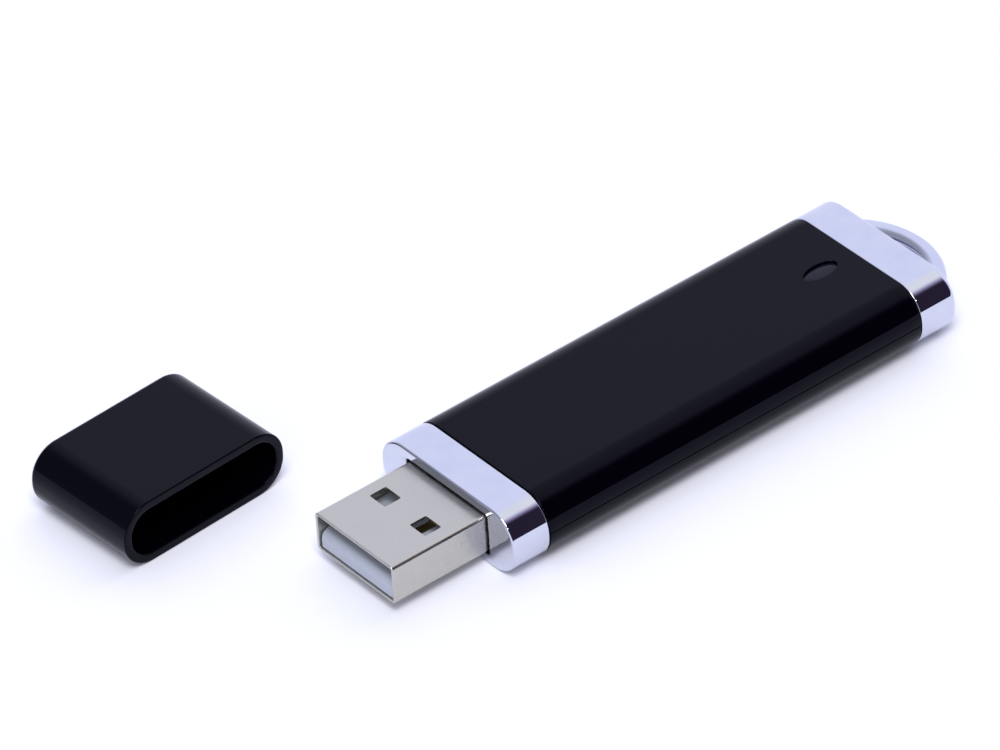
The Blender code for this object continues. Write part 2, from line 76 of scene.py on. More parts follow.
SIDE_RADIUS = 3.4 * MM
WALL = 1.05 * MM
COLLAR_WALL = 1.1 * MM
SEAM = 0.12 * MM
FIT_GAP = 0.08 * MM
PARTING_Z = 3.7 * MM
PARTING_EDGE_ROUND = 0.05 * MM
EDGE_ROUND = 0.12 * MM
PLATED_EDGE_ROUND = 0.1 * MM
COLLAR_FRONT_ROUND = 0.24 * MM
MOUTH_EDGE_ROUND = 0.12 * MM
TAIL_ROUND = 0.7 * MM
TAIL_END_WALL = 1.35 * MM

# How the shells, the end pieces and the board locate each other.
SPIGOT_REACH = 2.6 * MM
SPIGOT_ROOT = 1.2 * MM
SPIGOT_WALL = 0.75 * MM
LIP_INSET = 0.55 * MM
LIP_WALL = 0.6 * MM
LIP_HEIGHT = 0.75 * MM
LIP_DEPTH = 1.0 * MM
LIP_ENDS = (COLLAR_SEAM_X + 1.6 * MM, TAIL_SEAM_X - 1.6 * MM)
POST_PLACES = (-16.2 * MM, 21.0 * MM)
POST_SPREAD = 6.9 * MM
POST_WIDTH = 1.3 * MM
RAIL_ENDS = (-16.5 * MM, 21.8 * MM)
RAIL_SIDES = (7.1 * MM, 8.6 * MM)
RAIL_FOOT_Z = 0.7 * MM
SOLDER_GAP = 0.05 * MM

PLUG_WALL = 0.3 * MM
PLUG_RADIUS = 0.45 * MM
PLUG_INNER_RADIUS = 0.15 * MM
PLUG_TAB = 3.0 * MM
PLUG_TAB_HEIGHTS = (2.0 * MM, 4.6 * MM)
PLUG_BACK_X = PLUG_HIGH.x - PLUG_TAB
PLUG_WIDTH = PLUG_HIGH.y - PLUG_LOW.y
PLUG_HEIGHT = PLUG_HIGH.z - PLUG_LOW.z
WINDOW_LENGTH = 2.05 * MM
WINDOW_WIDTH = 2.4 * MM
WINDOW_FROM_TIP = 5.45 * MM
WINDOW_SPREAD = 3.1 * MM
WINDOW_CORNER = 0.18 * MM
PLUG_LEAD_IN = 0.1 * MM
MOUTH_CLEARANCE = 0.5 * MM
POCKET_SIDE_GAP = 0.2 * MM
POCKET_FACE_GAP = 0.15 * MM
POCKET_BACK_GAP = 0.3 * MM

TONGUE_NOSE = 0.95 * MM
TONGUE_CHIN = 0.15 * MM
TONGUE_CORNER = 0.35 * MM
REAR_BLOCK_X = FRONT_X - 0.4 * MM
REAR_BLOCK_LIFT = 0.3 * MM

CONTACT_CURL = 0.12 * MM
CONTACT_CURL_LENGTH = 0.5 * MM
CONTACT_TAPER = 0.35
CONTACT_EDGE = 0.03 * MM
GROOVE_MARGIN = 0.06 * MM

LENS_LENGTH = 4.2 * MM
LENS_WIDTH = 2.0 * MM
LENS_CROWN = 0.07 * MM
LENS_HOLE_ROUND = 0.07 * MM
LENS_FLANGE_THICKNESS = 0.5 * MM
LENS_FOOT = (2.0 * MM, 1.4 * MM)

LOOP_RADIUS = 10.0 * MM
LOOP_BAR = 1.7 * MM
LOOP_THICKNESS = 2.0 * MM
LOOP_EDGE_ROUND = 0.4 * MM

CAP_WIDTH = 20.5 * MM
CAP_LENGTH = 14.4 * MM
CAP_WALL = 0.95 * MM
CAP_END_WALL = 1.2 * MM
CAP_END_ROUND = 0.55 * MM
CAP_RIM_ROUND = 0.14 * MM
CAP_RIB_WIDTH = 1.0 * MM
CAP_RIB_BACK = 0.8 * MM
CAP_RIB_SETBACK = 3.0 * MM
CAP_GUIDE_SIDES = (0.15 * MM, 0.95 * MM)

SECTION_STEPS = 20
SHARP_ANGLE = math.radians(28)


# ---------------------------------------------------------------- meshes


def piece_from(name, bm):
    bmesh.ops.recalc_face_normals(bm, faces=bm.faces[:])
    mesh = bpy.data.meshes.new(name)
    bm.to_mesh(mesh)
    bm.free()
    made = bpy.data.objects.new(name, mesh)
    bpy.context.scene.collection.objects.link(made)
    return made


def rounded_outline(centre, length, width, radius, steps=5):
    """A rounded rectangle as a ring of points on a plane."""
    points = []
    for corner in range(4):
        side = 1 if corner in (0, 3) else -1
        top = 1 if corner in (0, 1) else -1
        for step in range(steps + 1):
            angle = math.radians(90) * (corner + step / steps)
            along = side * (length / 2 - radius) + radius * math.cos(angle)
            across = top * (width / 2 - radius) + radius * math.sin(angle)
            points.append((centre[0] + along, centre[1] + across))
    return points


def section(x, width, height, radius, centre_z=MID_Z, steps=SECTION_STEPS):
    """A rounded rectangle standing across X."""
    return [Vector((x, y, z)) for y, z in rounded_outline((0, centre_z), width, height, radius, steps)]


def housing_section(x, inset):
    return section(x, HOUSING_WIDTH - 2 * inset, HOUSING_HEIGHT - 2 * inset, SIDE_RADIUS - inset)


def quarter_round(radius, steps=6):
    """(depth behind the face, inset from the side) pairs, from the face round to the side."""
    turns = [math.radians(90) * (1 - step / steps) for step in range(steps + 1)]
    return [(radius * (1 - math.sin(turn)), radius * (1 - math.cos(turn))) for turn in turns]


def lofted(name, rings, ring_shaped=False):
    """A skin through rings of equal length. Its ends are filled, or joined if it is ring-shaped."""
    bm = bmesh.new()
    rows = [[bm.verts.new(point) for point in ring] for ring in rings]
    pairs = list(zip(rows, rows[1:]))
    if ring_shaped:
        pairs.append((rows[-1], rows[0]))
    else:
        bm.faces.new(rows[0][::-1])
        bm.faces.new(rows[-1])
    count = len(rows[0])
    for one, other in pairs:
        for i in range(count):
            j = (i + 1) % count
            bm.faces.new((one[i], one[j], other[j], other[i]))
    return piece_from(name, bm)


def plate(name, outer_rows, inner_rows):
    """A bent plate: two skins of open rows, joined all round their edge."""
    bm = bmesh.new()
    outer = [[bm.verts.new(point) for point in row] for row in outer_rows]
    inner = [[bm.verts.new(point) for point in row] for row in inner_rows]
    last = len(outer[0]) - 1
    for k in range(len(outer) - 1):
        for i in range(last):
            bm.faces.new((outer[k][i], outer[k][i + 1], outer[k + 1][i + 1], outer[k + 1][i]))
            bm.faces.new((inner[k][i], inner[k + 1][i], inner[k + 1][i + 1], inner[k][i + 1]))
        for i in (0, last):
            bm.faces.new((outer[k][i], outer[k + 1][i], inner[k + 1][i], inner[k][i]))
    for k in (0, len(outer) - 1):
        for i in range(last):
            bm.faces.new((outer[k][i], outer[k][i + 1], inner[k][i + 1], inner[k][i]))
    return piece_from(name, bm)


def block(name, low, high):
    bm = bmesh.new()
    bmesh.ops.create_cube(bm, size=1.0)
    low, high = Vector(low), Vector(high)
    for vert in bm.verts:
        vert.co = Vector((low[i] + (vert.co[i] + 0.5) * (high[i] - low[i]) for i in range(3)))
    return piece_from(name, bm)


def upright(name, outline, z_low, z_high):
    """An outline of (x, y) points raised between two heights."""
    return lofted(name, [[Vector((x, y, z)) for x, y in outline] for z in (z_low, z_high)])


def ellipse(centre, length, width, z, count=64):
    turns = [2 * math.pi * i / count for i in range(count)]
    return [
        Vector((centre[0] + length / 2 * math.cos(turn), centre[1] + width / 2 * math.sin(turn), z))
        for turn in turns
    ]


def boolean(target, operation, tools):
    for tool in tools:
        step = target.modifiers.new(tool.name, "BOOLEAN")
        step.operation = operation
        step.solver = "EXACT"
        step.object = tool
    settle(target)
    for tool in tools:
        bpy.data.objects.remove(tool)


def cut(target, *tools):
    boolean(target, "DIFFERENCE", tools)


def join(target, *tools):
    boolean(target, "UNION", tools)


def settle(target):
    """Applies the modifiers to the mesh."""
    graph = bpy.context.evaluated_depsgraph_get()
    mesh = bpy.data.meshes.new_from_object(target.evaluated_get(graph))
    target.modifiers.clear()
    old = target.data
    target.data = mesh
    bpy.data.meshes.remove(old)


def finished(piece, finish, body, slot, *nodes):
    """Shades the piece, gives it its material, puts it on the body it rides on, and hides the frame's parts
    it stands for.
    """
    mesh = piece.data
    mesh.materials.clear()
    mesh.materials.append(finish)
    mesh.shade_smooth()
    mesh.set_sharp_from_angle(angle=SHARP_ANGLE)
    weighted = piece.modifiers.new("weighted_normals", "WEIGHTED_NORMAL")
    weighted.keep_sharp = True
    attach(piece, body)
    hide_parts(*nodes)


# ---------------------------------------------------------------- materials


def colour_mix(tree, factor, one, other):
    """A node that blends two colours, each of them a tuple or a socket."""
    node = tree.nodes.new("ShaderNodeMix")
    node.data_type = "RGBA"
    tree.links.new(factor, node.inputs["Factor"])
    for socket, colour in ((node.inputs["A"], one), (node.inputs["B"], other)):
        if isinstance(colour, tuple):
            socket.default_value = (*colour, 1.0)
        else:
            tree.links.new(colour, socket)
    return node.outputs["Result"]


class Finish:
    """A Principled material with helpers for the textures that vary it, in the piece's own millimetres."""

    def __init__(self, name, colour, roughness, metallic=0.0, **sockets):
        self.material = bpy.data.materials.new(name)
        self.material.use_nodes = True
        self.material.diffuse_color = (*colour, 1.0)
        self.tree = self.material.node_tree
        self.shader = self.tree.nodes["Principled BSDF"]
        self.shader.inputs["Base Color"].default_value = (*colour, 1.0)
        self.shader.inputs["Roughness"].default_value = roughness
        self.shader.inputs["Metallic"].default_value = metallic
        for socket, value in sockets.items():
            self.shader.inputs[socket.replace("_", " ")].default_value = value
        self.place = self.tree.nodes.new("ShaderNodeTexCoord").outputs["Object"]
        self.height = None

    def link(self, source, socket):
        self.tree.links.new(source, socket)

    def noise(self, size, stretch=(1, 1, 1), detail=3.0):
        """Noise whose blobs are about this many millimetres across, stretched along each axis."""
        mapping = self.tree.nodes.new("ShaderNodeMapping")
        mapping.inputs["Scale"].default_value = [1 / (size * MM * factor) for factor in stretch]
        noise = self.tree.nodes.new("ShaderNodeTexNoise")
        noise.inputs["Scale"].default_value = 1.0
        noise.inputs["Detail"].default_value = detail
        self.link(self.place, mapping.inputs["Vector"])
        self.link(mapping.outputs["Vector"], noise.inputs["Vector"])
        return noise.outputs["Fac"]

    def mapped(self, value, low, high, to_low, to_high):
        node = self.tree.nodes.new("ShaderNodeMapRange")
        node.inputs["From Min"].default_value = low
        node.inputs["From Max"].default_value = high
        node.inputs["To Min"].default_value = to_low
        node.inputs["To Max"].default_value = to_high
        self.link(value, node.inputs["Value"])
        return node.outputs["Result"]

    def math(self, operation, one, other):
        node = self.tree.nodes.new("ShaderNodeMath")
        node.operation = operation
        for socket, value in zip(node.inputs, (one, other)):
            if isinstance(value, (int, float)):
                socket.default_value = value
            else:
                self.link(value, socket)
        return node.outputs["Value"]

    def mixed(self, factor, one, other):
        return colour_mix(self.tree, factor, one, other)

    def colour(self, source):
        self.link(source, self.shader.inputs["Base Color"])

    def roughness(self, source):
        self.link(source, self.shader.inputs["Roughness"])

    def bump(self, height, depth):
        """Adds relief of this depth in millimetres where height runs from 0 to 1."""
        node = self.tree.nodes.new("ShaderNodeBump")
        node.inputs["Strength"].default_value = 1.0
        node.inputs["Distance"].default_value = depth * MM
        self.link(height, node.inputs["Height"])
        if self.height is not None:
            self.link(self.height, node.inputs["Normal"])
        self.height = node.outputs["Normal"]
        self.link(self.height, self.shader.inputs["Normal"])


def gloss_black(name):
    """Polished black ABS: a faint orange peel, and hairline handling marks that only dull the gloss."""
    finish = Finish(
        name, (0.0005, 0.0005, 0.0018), 0.07, Specular_IOR_Level=0.108, Specular_Tint=(0.69, 0.66, 1.0, 1.0)
    )
    hairlines = finish.noise(0.05, stretch=(14, 1, 1), detail=2)
    hazy = finish.noise(3.0, detail=4)
    lines = finish.mapped(hairlines, 0.62, 0.8, 0.0, 0.06)
    haze = finish.mapped(hazy, 0.3, 0.75, 0.045, 0.09)
    finish.roughness(finish.math("ADD", lines, haze))
    finish.bump(finish.noise(1.6, detail=2), 0.0012)
    return finish.material


def chrome(name):
    """Bright plating over moulded plastic, with a slight waviness and a few rub marks."""
    finish = Finish(name, (0.605, 0.63, 0.725), 0.05, metallic=1.0)
    rubbed = finish.noise(0.06, stretch=(1, 10, 10), detail=2)
    cloudy = finish.noise(2.5, detail=3)
    lines = finish.mapped(rubbed, 0.62, 0.82, 0.0, 0.05)
    finish.roughness(finish.math("ADD", lines, finish.mapped(cloudy, 0.3, 0.7, 0.03, 0.06)))
    patches = finish.mapped(cloudy, 0.3, 0.7, 0, 1)
    finish.colour(finish.mixed(patches, (0.585, 0.612, 0.712), (0.632, 0.65, 0.735)))
    finish.bump(finish.noise(2.2, detail=2), 0.0012)
    return finish.material


def nickel(name):
    """Stamped plated steel with a fine speckle, and wear lines along the plug from being plugged in."""
    finish = Finish(name, (0.51, 0.505, 0.455), 0.3, metallic=1.0)
    speckle = finish.noise(0.09, detail=3)
    wear = finish.noise(0.09, stretch=(45, 1, 1), detail=2)
    cloudy = finish.noise(1.8, detail=4)
    lines = finish.mapped(wear, 0.64, 0.76, 0.0, 0.5)
    worn = finish.mixed(lines, (0.51, 0.50, 0.45), (0.465, 0.45, 0.41))
    finish.colour(finish.mixed(finish.mapped(speckle, 0.3, 0.7, 0.0, 0.25), worn, (0.56, 0.555, 0.51)))
    base = finish.mapped(cloudy, 0.3, 0.7, 0.25, 0.32)
    finish.roughness(finish.math("ADD", base, finish.mapped(speckle, 0.3, 0.7, -0.03, 0.05)))
    finish.bump(speckle, 0.0006)
    return finish.material


def tongue_white(name):
    """Moulded pale plastic with a matt, faintly mottled surface, its base colour dulled to a grey-blue as
    painted shade for where it sits inside the plug's mouth.
    """
    # painted shade: the grey-blue base and mottle colours stand in for the shade inside the plug's mouth,
    # not the plastic's own white
    finish = Finish(name, (0.42, 0.46, 0.53), 0.42)
    mottled = finish.noise(0.5, detail=4)
    patches = finish.mapped(mottled, 0.3, 0.7, 0, 1)
    finish.colour(finish.mixed(patches, (0.405, 0.445, 0.515), (0.435, 0.475, 0.54)))
    finish.roughness(finish.mapped(mottled, 0.3, 0.7, 0.36, 0.5))
    finish.bump(finish.noise(0.06, detail=3), 0.003)
    return finish.material


def contact_gold(name):
    """Flash-gold plating, polished along the strip where a socket's springs have rubbed."""
    finish = Finish(name, (0.86, 0.62, 0.28), 0.25, metallic=1.0)
    rubbed = finish.noise(0.06, stretch=(25, 1, 1), detail=2)
    strips = finish.mapped(rubbed, 0.4, 0.65, 0, 1)
    finish.colour(finish.mixed(strips, (0.88, 0.64, 0.30), (0.76, 0.55, 0.27)))
    finish.roughness(finish.mapped(rubbed, 0.35, 0.7, 0.16, 0.34))
    finish.bump(rubbed, 0.001)
    return finish.material


def smoky_lens(name):
    """Tinted clear plastic over the indicator light."""
    finish = Finish(
        name, (0.008, 0.009, 0.018), 0.12, Transmission_Weight=0.1, IOR=1.46, Specular_IOR_Level=0.15
    )
    cloudy = finish.noise(1.1, detail=3)
    patches = finish.mapped(cloudy, 0.35, 0.65, 0, 1)
    finish.colour(finish.mixed(patches, (0.006, 0.007, 0.015), (0.011, 0.012, 0.021)))
    finish.roughness(finish.mapped(cloudy, 0.3, 0.7, 0.08, 0.16))
    finish.bump(finish.noise(0.7, detail=2), 0.004)
    return finish.material


def board_green(name):
    """Solder mask over glass cloth, with the raised copper beneath it."""
    finish = Finish(name, (0.02, 0.13, 0.06), 0.35)
    copper = finish.mapped(finish.noise(1.6, stretch=(3, 1, 1), detail=0), 0.5, 0.53, 0.0, 1.0)
    weave = finish.noise(0.18, stretch=(1, 1, 4), detail=1)
    finish.colour(finish.mixed(copper, (0.012, 0.09, 0.04), (0.03, 0.19, 0.08)))
    finish.roughness(finish.mapped(weave, 0.3, 0.7, 0.28, 0.42))
    finish.bump(weave, 0.004)
    finish.bump(copper, 0.02)
    return finish.material


def moulded(name, colour, speckle, roughness, relief=0.006):
    """Matt moulded or ceramic body with a fine speckle."""
    finish = Finish(name, colour, roughness)
    speckled = finish.noise(0.12, detail=4)
    finish.colour(finish.mixed(finish.mapped(speckled, 0.35, 0.65, 0, 1), colour, speckle))
    finish.roughness(finish.mapped(speckled, 0.3, 0.7, roughness - 0.06, roughness + 0.08))
    finish.bump(speckled, relief)
    return finish.material


def dull_tin(name):
    """Cloudy grey metal, for the crystal's can."""
    finish = Finish(name, (0.6, 0.6, 0.6), 0.35, metallic=1.0)
    cloudy = finish.noise(0.5, detail=4)
    patches = finish.mapped(cloudy, 0.3, 0.7, 0, 1)
    finish.colour(finish.mixed(patches, (0.52, 0.52, 0.53), (0.68, 0.67, 0.66)))
    finish.roughness(finish.mapped(cloudy, 0.3, 0.7, 0.28, 0.45))
    finish.bump(cloudy, 0.003)
    return finish.material


BLACK = gloss_black("gloss_black")
CHROME = chrome("chrome")
NICKEL = nickel("nickel")
TONGUE = tongue_white("tongue_white")
GOLD = contact_gold("contact_gold")
SMOKY = smoky_lens("smoky_lens")
BOARD = board_green("board_green")
RESIN = moulded("chip_black", (0.014, 0.014, 0.016), (0.026, 0.026, 0.028), 0.55)
TIN = dull_tin("tin")
CERAMIC = moulded("capacitor_tan", (0.40, 0.27, 0.15), (0.50, 0.34, 0.20), 0.5)
GLOW = moulded("light_yellow", (0.75, 0.70, 0.45), (0.85, 0.80, 0.55), 0.3, 0.002)
GREY = moulded("spacer_grey", (0.22, 0.22, 0.23), (0.29, 0.29, 0.30), 0.6)


# ---------------------------------------------------------------- housing


def half_profile(x, inset, part_z, up):
    """Half of the housing's section as an open row, its two ends rounded onto the parting plane."""
    radius = SIDE_RADIUS - inset
    centre_z = HOUSING_HEIGHT - SIDE_RADIUS if up > 0 else SIDE_RADIUS
    reach = HOUSING_WIDTH / 2 - inset
    right = []
    for depth, back in quarter_round(PARTING_EDGE_ROUND, 4):
        right.append((reach - back, part_z + up * depth))
    rise = max(0.0, up * (part_z - centre_z) + PARTING_EDGE_ROUND)
    clear_of_edge = math.radians(0.3)
    first = math.asin(rise / radius) + clear_of_edge
    for step in range(SECTION_STEPS + 1):
        angle = first + (math.radians(90) - first) * step / SECTION_STEPS
        right.append((reach - radius + radius * math.cos(angle), centre_z + up * radius * math.sin(angle)))
    row = right + [(-y, z) for y, z in reversed(right)]
    return [Vector((x, y, z)) for y, z in row]


def housing_rows():
    """(outer x, outer inset, inner x, inner inset) down the length: spigot, rounded end, wall, and back."""
    low, high = COLLAR_SEAM_X + SEAM, TAIL_SEAM_X - SEAM
    outer_fit, inner_fit = COLLAR_WALL + FIT_GAP, COLLAR_WALL + FIT_GAP + SPIGOT_WALL
    lead, sliver = 0.1 * MM, 0.05 * MM
    start = [
        (-SPIGOT_REACH, outer_fit + lead, -SPIGOT_REACH, inner_fit),
        (-SPIGOT_REACH + lead, outer_fit, -SPIGOT_REACH + lead, inner_fit),
        (0, outer_fit, -sliver, inner_fit),
    ]
    for depth, inset in quarter_round(EDGE_ROUND):
        start.append((depth, inset, depth, inner_fit))
    step_x = SPIGOT_ROOT + sliver
    start += [(SPIGOT_ROOT, 0, SPIGOT_ROOT, inner_fit), (step_x, 0, step_x, WALL)]
    rows = [(low + a, b, low + c, d) for a, b, c, d in start]
    rows += [(high - a, b, high - c, d) for a, b, c, d in reversed(start)]
    return rows


def half_shell(name, part_z, up):
    outer, inner = [], []
    for outer_x, outer_inset, inner_x, inner_inset in housing_rows():
        outer.append(half_profile(outer_x, outer_inset, part_z, up))
        inner.append(half_profile(inner_x, inner_inset, part_z, up))
    return plate(name, outer, inner)


def plug_pocket():
    """A cutter for the room that the shells leave round the back of the plug."""
    reach = PLUG_WIDTH / 2 + POCKET_SIDE_GAP
    rise = PLUG_HEIGHT / 2 + POCKET_FACE_GAP
    return block(
        "plug_pocket",
        (FRONT_X - 1 * MM, -reach, MID_Z - rise),
        (PLUG_BACK_X + POCKET_BACK_GAP, reach, MID_Z + rise),
    )


def edge_band(name, ends, inset, thickness, z_low, z_high):
    """A band that follows the housing's wall at a given inset, between two heights."""
    band = lofted(name, [housing_section(x, inset) for x in ends])
    core = lofted("core", [housing_section(x, inset + thickness) for x in (ends[0] - MM, ends[1] + MM)])
    far = 40 * MM
    cut(
        band,
        core,
        block("under", (-far, -far, -far), (far, far, z_low)),
        block("over", (-far, -far, z_high), (far, far, far)),
    )
    return band


def lens_hole():
    """A cutter for the oval hole, flared where the hole's edge rounds onto the top."""
    stages = [(0, HOUSING_HEIGHT - WALL - MM)]
    for depth, inset in reversed(quarter_round(LENS_HOLE_ROUND)):
        stages.append((2 * inset, HOUSING_HEIGHT - depth))
    stages.append((2 * LENS_HOLE_ROUND, HOUSING_HEIGHT + MM))
    rings = [ellipse((LENS_X, 0), LENS_LENGTH + grow, LENS_WIDTH + grow, z) for grow, z in stages]
    return lofted("lens_hole", rings)


def housing_top():
    shell = half_shell("housing_top", PARTING_Z + FIT_GAP / 2, 1)
    rebate = edge_band(
        "rebate",
        LIP_ENDS,
        LIP_INSET - FIT_GAP,
        WALL,
        PARTING_Z - FIT_GAP,
        PARTING_Z + LIP_HEIGHT + FIT_GAP,
    )
    cut(shell, rebate, plug_pocket(), lens_hole())
    posts = []
    heights = (BOARD_TOP_Z + FIT_GAP, HOUSING_HEIGHT - WALL + 0.3 * MM)
    for x in POST_PLACES:
        for side in (-1, 1):
            centre = (x, side * POST_SPREAD)
            rings = [ellipse(centre, POST_WIDTH, POST_WIDTH, z, count=24) for z in heights]
            posts.append(lofted("post", rings))
    join(shell, *posts)
    return shell


def housing_bottom():
    shell = half_shell("housing_bottom", PARTING_Z - FIT_GAP / 2, -1)
    cut(shell, plug_pocket())
    ends = (LIP_ENDS[0] + FIT_GAP, LIP_ENDS[1] - FIT_GAP)
    lip = edge_band("lip", ends, LIP_INSET, LIP_WALL, PARTING_Z - LIP_DEPTH, PARTING_Z + LIP_HEIGHT)
    rail_top = BOARD_BOTTOM_Z - SOLDER_GAP
    rails = []
    for side in (-1, 1):
        edges = sorted(side * edge for edge in RAIL_SIDES)
        low, high = (RAIL_ENDS[0], edges[0], RAIL_FOOT_Z), (RAIL_ENDS[1], edges[1], rail_top)
        rails.append(block("rail", low, high))
    join(shell, lip, *rails)
    return shell


def collar():
    """A plated end piece: rounded front edge, and a rounded lip into the mouth the plug comes out of."""
    mouth_width, mouth_height = PLUG_WIDTH + MOUTH_CLEARANCE, PLUG_HEIGHT + MOUTH_CLEARANCE
    rings = []
    for depth, inset in quarter_round(PLATED_EDGE_ROUND, 4):
        rings.append(housing_section(COLLAR_SEAM_X - depth, inset))
    for depth, inset in reversed(quarter_round(COLLAR_FRONT_ROUND, 8)):
        rings.append(housing_section(FRONT_X + depth, inset))
    for depth, inset in quarter_round(MOUTH_EDGE_ROUND, 4):
        grow = 2 * inset
        corner = PLUG_RADIUS + inset
        rings.append(section(FRONT_X + depth, mouth_width + grow, mouth_height + grow, corner))
    bay_x = FRONT_X + COLLAR_WALL
    rings.append(section(bay_x, mouth_width, mouth_height, PLUG_RADIUS))
    rings.append(housing_section(bay_x, COLLAR_WALL))
    rings.append(housing_section(COLLAR_SEAM_X, COLLAR_WALL))
    return lofted("collar", rings, ring_shaped=True)


def loop_profile():
    """(inward, z) round the bar, from its inner wall: a slope down to the hole, then rounded outer edges."""
    low, high = MID_Z - LOOP_THICKNESS / 2, MID_Z + LOOP_THICKNESS / 2
    edge = quarter_round(LOOP_EDGE_ROUND)
    slope = ((1.7, 0.62), (1.6, 0.4), (1.25, 0.14), (0.8, 0.0))
    points = [(inward * MM, high - drop * MM) for inward, drop in slope]
    points += [(inset, high - depth) for depth, inset in edge]
    points += [(inset, low + depth) for depth, inset in reversed(edge)]
    points += [(LOOP_BAR - inset, low + depth) for depth, inset in edge]
    return points


def keyring_loop():
    """A flat arched bar with rounded edges, its ends buried in the tail's end wall."""
    centre_x = LOOP_X - LOOP_RADIUS
    limit = math.acos((BACK_X - TAIL_ROUND - centre_x) / LOOP_RADIUS)
    steps = 48
    profile = loop_profile()
    rings = []
    for step in range(steps + 1):
        angle = -limit + 2 * limit * step / steps
        ring = []
        for inward, z in profile:
            reach = LOOP_RADIUS - inward
            ring.append(Vector((centre_x + reach * math.cos(angle), reach * math.sin(angle), z)))
        rings.append(ring)
    return lofted("keyring_loop", rings)


def tail():
    """A plated end piece, hollow from its seam, with the loop on its rounded end."""
    stages = [(BACK_X - depth, inset) for depth, inset in quarter_round(TAIL_ROUND, 10)]
    edge = reversed(quarter_round(PLATED_EDGE_ROUND, 4))
    stages += [(TAIL_SEAM_X + depth, inset) for depth, inset in edge]
    stages += [(TAIL_SEAM_X, COLLAR_WALL), (BACK_X - TAIL_END_WALL, COLLAR_WALL)]
    rings = [housing_section(x, inset) for x, inset in stages]
    body = lofted("tail", rings)
    join(body, keyring_loop())
    return body


def lens():
    """A crowned oval light pipe with a flange that hooks under the shell."""
    surface = LENS_HIGH.z
    under = HOUSING_HEIGHT - WALL - FIT_GAP
    flange_length, flange_width = LENS_HIGH.x - LENS_LOW.x, LENS_HIGH.y - LENS_LOW.y
    length, width = LENS_LENGTH - 2 * FIT_GAP, LENS_WIDTH - 2 * FIT_GAP
    flange_foot = under - LENS_FLANGE_THICKNESS
    crown_steps, crown_power = 8, 2.4
    stages = []
    for step in range(1, crown_steps + 1):
        share = step / crown_steps
        stages.append((length * share, width * share, surface - LENS_CROWN * share ** crown_power))
    stages += [
        (length, width, under),
        (flange_length, flange_width, under),
        (flange_length, flange_width, flange_foot),
        (*LENS_FOOT, flange_foot),
        (*LENS_FOOT, LENS_LOW.z),
    ]
    rings = [ellipse((LENS_X, 0), long, wide, z) for long, wide, z in stages]
    return lofted("lens", rings)


# ---------------------------------------------------------------- plug


def plug_section(x, inset):
    radius = max(PLUG_RADIUS - inset, PLUG_INNER_RADIUS)
    return section(x, PLUG_WIDTH - 2 * inset, PLUG_HEIGHT - 2 * inset, radius, steps=8)


def thin_slot(start, end, gap, z_low, z_high):
    """An upright cutter along the line between two (x, y) points."""
    start, end = Vector(start), Vector(end)
    along = (end - start).normalized() * gap / 2
    across = Vector((-along.y, along.x))
    corners = (start - along - across, end + along - across, end + along + across, start - along + across)
    return upright("thin_slot", [tuple(corner) for corner in corners], z_low, z_high)


def plug_seam():
    """Cutters for the joint where the stamped strip closes on itself under the plug, with its dovetail."""
    neck, flare, depth = 0.55 * MM, 0.85 * MM, 1.0 * MM
    middle = PLUG_LOW.x + 9.2 * MM
    line = [
        (PLUG_LOW.x - MM, 0),
        (middle - neck, 0),
        (middle - flare, depth),
        (middle + flare, depth),
        (middle + neck, 0),
        (PLUG_BACK_X + MM, 0),
    ]
    heights = (PLUG_LOW.z - MM, PLUG_LOW.z + 2 * PLUG_WALL)
    gap = 0.05 * MM
    return [thin_slot(one, other, gap, *heights) for one, other in zip(line, line[1:])]


def plug():
    """Sheet steel folded into a box, with punched windows and a lead-in rounded onto its mouth."""
    rings = []
    for depth, inset in quarter_round(PLUG_LEAD_IN, 4):
        rings.append(plug_section(PLUG_LOW.x + depth, inset))
    rings.append(plug_section(PLUG_BACK_X, 0))
    rings.append(plug_section(PLUG_BACK_X, PLUG_WALL))
    for depth, inset in reversed(quarter_round(PLUG_LEAD_IN, 4)):
        rings.append(plug_section(PLUG_LOW.x + depth, PLUG_WALL - inset))
    shell = lofted("plug", rings, ring_shaped=True)
    windows = []
    for side in (-1, 1):
        centre = (PLUG_LOW.x + WINDOW_FROM_TIP + WINDOW_LENGTH / 2, side * WINDOW_SPREAD)
        outline = rounded_outline(centre, WINDOW_LENGTH, WINDOW_WIDTH, WINDOW_CORNER)
        windows.append(upright("window", outline, PLUG_LOW.z - MM, PLUG_HIGH.z + MM))
    cut(shell, *windows, *plug_seam())
    tabs = []
    for side in (-1, 1):
        edges = sorted((side * (PLUG_WIDTH / 2 - PLUG_WALL), side * PLUG_WIDTH / 2))
        low = (PLUG_BACK_X - 0.5 * MM, edges[0], PLUG_TAB_HEIGHTS[0])
        high = (PLUG_HIGH.x, edges[1], PLUG_TAB_HEIGHTS[1])
        tabs.append(block("tab", low, high))
    join(shell, *tabs)
    return shell


CONTACTS = ("contact_vbus", "contact_data_minus", "contact_data_plus", "contact_ground")


def tongue_rows():
    """(y, setback) across the tongue, its two front corners rounded in plan."""
    turned = quarter_round(TONGUE_CORNER, 8)
    rows = [(TONGUE_LOW.y + inset, back) for back, inset in reversed(turned)]
    return rows + [(TONGUE_HIGH.y - inset, back) for back, inset in turned]


def tongue_outline(y, back):
    """The tongue from the side: a big rounded nose on top of a small chin."""
    front, low, high = TONGUE_LOW.x + back, TONGUE_LOW.z, MID_Z
    points = [(TONGUE_HIGH.x, high), (TONGUE_HIGH.x, low)]
    points += [(front + depth, low + inset) for depth, inset in reversed(quarter_round(TONGUE_CHIN, 4))]
    points += [(front + depth, high - inset) for depth, inset in quarter_round(TONGUE_NOSE, 12)]
    return [Vector((x, y, z)) for x, z in points]


